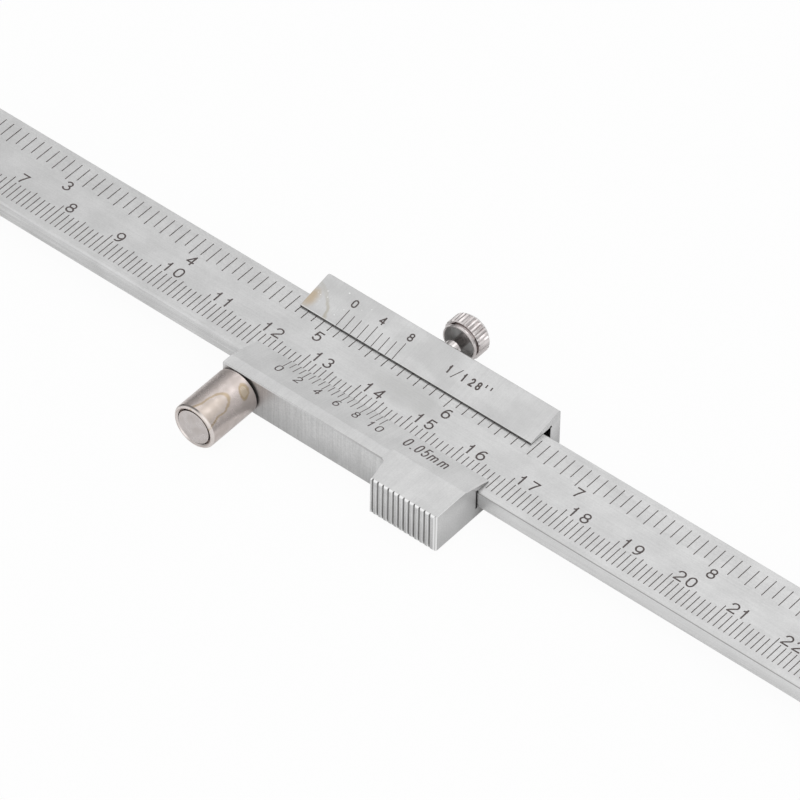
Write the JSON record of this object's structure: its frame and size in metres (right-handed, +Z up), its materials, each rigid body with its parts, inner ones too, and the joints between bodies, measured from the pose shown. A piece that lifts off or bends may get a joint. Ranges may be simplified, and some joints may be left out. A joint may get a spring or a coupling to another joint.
{
  "type": "vernier marking gauge",
  "caption": "Steel marking gauge: a vernier slider with guide roller, thumb pad and knurled lock screw runs along a graduated beam with a clamped scriber at its end.",
  "frame": {"origin": "on the resting plane under the scriber head, straight below the beam's zero line on the beam's centreline", "axes": "+X along the beam, the way the readings grow; +Y across it towards the lock screw; +Z up, out of the graduated face"},
  "size_m": [0.2716, 0.0434, 0.0079],
  "materials": {
    "satin_stainless": "satin, fine ground lengthwise, with dark etched graduations",
    "nickel_plate": "bright nickel plating over turned steel, straight knurling on the screws",
    "blackened_steel": "oil-blackened steel",
    "brass": "plain drawn brass strip",
    "carbide": "ground tungsten carbide"
  },
  "bodies": {
    "beam": {"beam": "satin_stainless", "scriber_head": "satin_stainless", "head_rivet_front": "satin_stainless", "head_rivet_rear": "satin_stainless", "stop_screw": "blackened_steel", "clamp_pad": "brass"},
    "slider": {"slider_body": "satin_stainless", "gib_strip": "brass", "roller_pin": "nickel_plate", "roller_washer": "blackened_steel"},
    "roller": {"guide_roller": "nickel_plate"},
    "lock_screw": {"lock_screw": "nickel_plate"},
    "gib_screw_left": {"gib_screw_left": "blackened_steel"},
    "gib_screw_right": {"gib_screw_right": "blackened_steel"},
    "scriber": {"scriber_rod": "satin_stainless", "scriber_tip": "carbide"},
    "clamp_screw": {"clamp_screw": "nickel_plate"}
  },
  "joints": [
    {"name": "slider_slide", "type": "slide", "parent": "beam", "child": "slider", "axis": [1, 0, 0], "range_m": [-0.1189, 0.0711]},
    {"name": "roller_spin", "type": "hinge", "parent": "slider", "child": "roller", "pos_m": [0.12525, -0.0188, 0.00395], "axis": [0, 1, 0], "continuous": true},
    {"name": "lock_screw_turn", "type": "hinge", "parent": "slider", "child": "lock_screw", "pos_m": [0.14465, 0.0107, 0.00425], "axis": [0, 1, 0], "range_deg": [0, 720]},
    {"name": "gib_screw_left_turn", "type": "hinge", "parent": "slider", "child": "gib_screw_left", "pos_m": [0.1311, 0.0107, 0.00425], "axis": [0, 1, 0], "range_deg": [-90, 180]},
    {"name": "gib_screw_right_turn", "type": "hinge", "parent": "slider", "child": "gib_screw_right", "pos_m": [0.1585, 0.0107, 0.00425], "axis": [0, 1, 0], "range_deg": [-90, 180]},
    {"name": "scriber_slide", "type": "slide", "parent": "beam", "child": "scriber", "axis": [0, 1, 0], "range_m": [-0.004, 0.004]},
    {"name": "clamp_screw_turn", "type": "hinge", "parent": "beam", "child": "clamp_screw", "pos_m": [-0.0131, -0.0027, 0.00395], "axis": [-1, 0, 0], "range_deg": [0, 720]}
  ]
}
